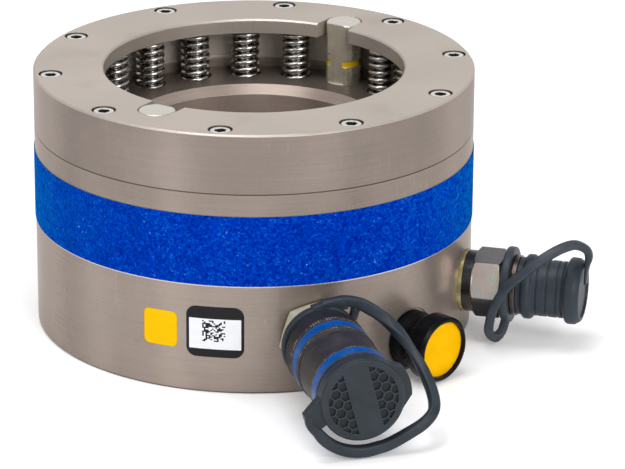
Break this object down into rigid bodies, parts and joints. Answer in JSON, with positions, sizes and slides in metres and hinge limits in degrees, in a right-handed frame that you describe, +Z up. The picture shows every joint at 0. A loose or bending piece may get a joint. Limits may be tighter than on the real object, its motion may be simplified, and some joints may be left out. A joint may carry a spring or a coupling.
{
  "type": "hydraulic bolt tensioner",
  "caption": "Annular hydraulic bolt tensioner: a spring-returned piston in a round cylinder under a screwed top ring, with a quick coupler, a capped nipple and a knob on its side.",
  "frame": {"origin": "Centre of the base face, on the tool axis", "axes": "+Z up along the piston and the bolt; -Y is the side that the picture is taken from; +X is its right-hand side"},
  "size_m": [0.2586, 0.2816, 0.1221],
  "materials": {
    "body_metal": "satin",
    "ring_metal": "satin",
    "piston_metal": "machined",
    "black_steel": "black oxide",
    "grip_blue": "coarse grit",
    "seal_rubber": "matt",
    "backup_plastic": "matt",
    "spring_steel": "drawn wire",
    "washer_gold": "yellow passivated",
    "zinc_steel": "yellowish zinc",
    "bright_steel": "ground",
    "black_coating": "textured",
    "band_blue": "smooth",
    "cap_rubber": "matt",
    "knob_black": "semi-gloss",
    "disc_yellow": "smooth"
  },
  "bodies": {
    "cylinder": {"cylinder_body": "body_metal", "top_ring": "ring_metal", "ring_screws": "black_steel", "grip_band": "grip_blue", "return_springs_left": "spring_steel", "return_springs_right": "spring_steel", "spring_guide_rods": "spring_steel", "coupler_washer": "washer_gold", "coupler_body": "zinc_steel", "coupler_valve_seat": "zinc_steel", "coupler_poppet_spring": "spring_steel", "coupler_balls": "bright_steel", "coupler_snap_ring": "spring_steel", "coupler_sleeve_spring": "spring_steel", "coupler_cap_strap": "cap_rubber", "nipple_washer": "washer_gold", "nipple_body": "black_steel", "nipple_valve_seat": "zinc_steel", "nipple_poppet_spring": "spring_steel", "nipple_cap_strap": "cap_rubber", "knob": "knob_black", "knob_disc": "disc_yellow", "knob_stud": "bright_steel"},
    "piston": {"piston": "piston_metal", "head_seal": "seal_rubber", "head_backup_ring": "backup_plastic", "skirt_seal": "seal_rubber", "skirt_backup_ring": "backup_plastic", "stroke_pins": "ring_metal"},
    "sleeve": {"coupler_sleeve": "black_coating", "coupler_rear_band": "band_blue", "coupler_front_band": "band_blue"},
    "coupler_valve": {"coupler_poppet": "bright_steel"},
    "nipple_valve": {"nipple_poppet": "bright_steel"},
    "coupler_dust_cap": {"coupler_cap": "cap_rubber"},
    "nipple_dust_cap": {"nipple_cap": "cap_rubber"}
  },
  "joints": [
    {"name": "piston_stroke", "type": "slide", "parent": "cylinder", "child": "piston", "axis": [0, 0, 1], "range_m": [0, 0.018], "stiffness_N_per_m": 200000, "springref_m": -0.004, "deforming": ["return_springs_left", "return_springs_right"]},
    {"name": "sleeve_pull", "type": "slide", "parent": "cylinder", "child": "sleeve", "axis": [-0.2588, 0.9659, 0], "range_m": [0, 0.0044], "stiffness_N_per_m": 3000, "springref_m": -0.004, "deforming": ["coupler_sleeve_spring"]},
    {"name": "coupler_valve_push", "type": "slide", "parent": "cylinder", "child": "coupler_valve", "axis": [-0.2588, 0.9659, 0], "range_m": [0, 0.003], "stiffness_N_per_m": 1500, "springref_m": -0.003, "deforming": ["coupler_poppet_spring"]},
    {"name": "nipple_valve_push", "type": "slide", "parent": "cylinder", "child": "nipple_valve", "axis": [-0.9613, 0.2756, 0], "range_m": [0, 0.003], "stiffness_N_per_m": 1500, "springref_m": -0.003, "deforming": ["nipple_poppet_spring"]},
    {"name": "coupler_cap_pull", "type": "slide", "parent": "cylinder", "child": "coupler_dust_cap", "axis": [0.2588, -0.9659, 0], "range_m": [0, 0.02], "deforming": ["coupler_cap_strap"]},
    {"name": "nipple_cap_pull", "type": "slide", "parent": "cylinder", "child": "nipple_dust_cap", "axis": [0.9613, -0.2756, 0], "range_m": [0, 0.022], "deforming": ["nipple_cap_strap"]}
  ]
}
